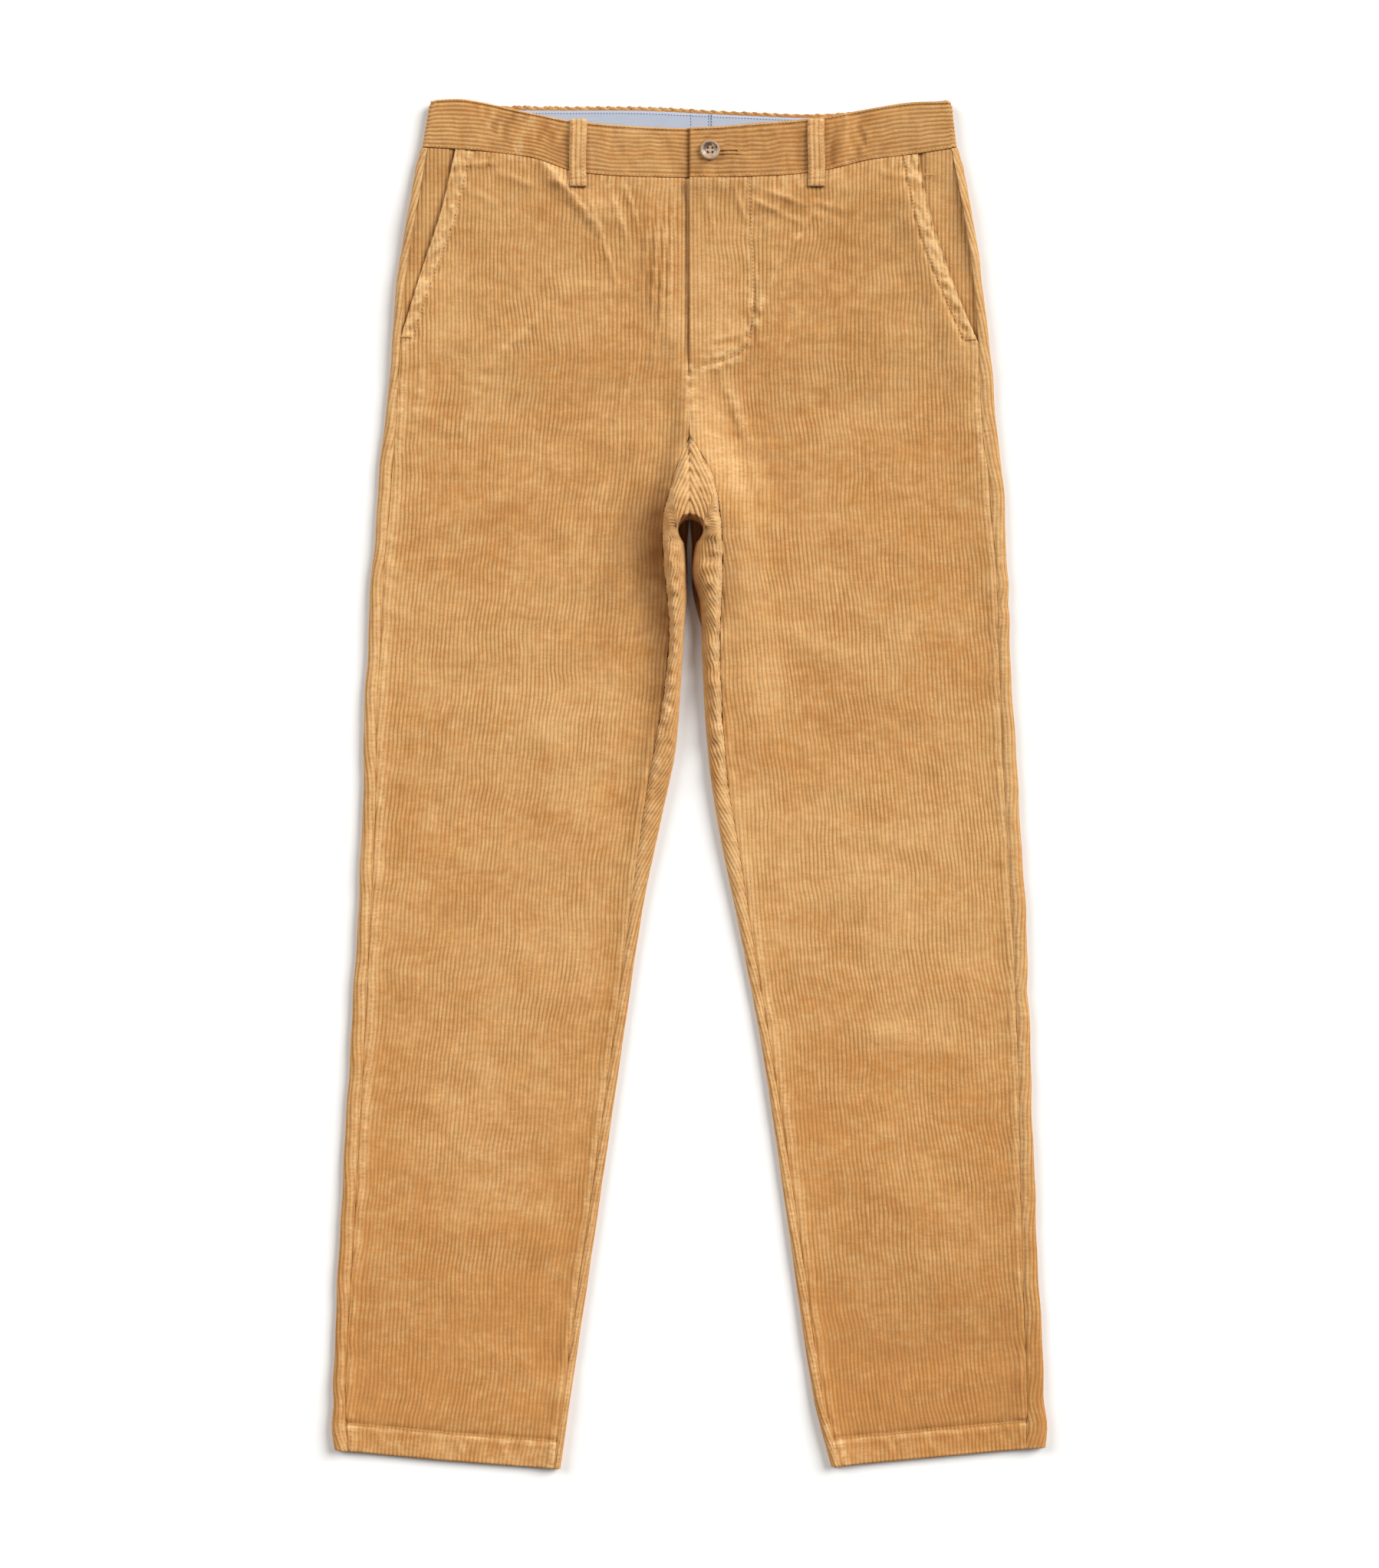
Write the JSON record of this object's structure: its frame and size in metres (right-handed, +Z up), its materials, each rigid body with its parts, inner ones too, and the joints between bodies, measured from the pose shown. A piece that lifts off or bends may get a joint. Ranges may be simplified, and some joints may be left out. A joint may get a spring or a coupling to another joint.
{
  "type": "corduroy trousers laid flat",
  "caption": "Wide-wale corduroy trousers with slant pockets, belt loops and a button fly waist, laid flat on their back.",
  "frame": {"origin": "centre of the bounding box in plan, on the surface that the trousers lie on", "axes": "+Y from the hems to the waist, +Z up out of the front of the trousers, +X towards the wearer's left"},
  "size_m": [0.5575, 1.0718, 0.0298],
  "materials": {
    "corduroy": "matt pile",
    "lining": "matt plain weave",
    "zip": "woven tape",
    "button": "polished, mottled"
  },
  "bodies": {
    "root": {"front_right": "corduroy", "front_left": "corduroy", "back_right": "corduroy", "back_left": "corduroy", "waistband_right": "corduroy", "waistband_left": "corduroy", "pocket_facing_right": "corduroy", "pocket_facing_left": "corduroy", "waistband_lining_right": "lining", "waistband_lining_left": "lining", "belt_loop_front_right": "corduroy", "belt_loop_front_left": "corduroy", "belt_loop_back_right": "corduroy", "belt_loop_back_centre": "corduroy", "belt_loop_back_left": "corduroy", "fly_zip": "zip", "button": "button"}
  },
  "joints": []
}
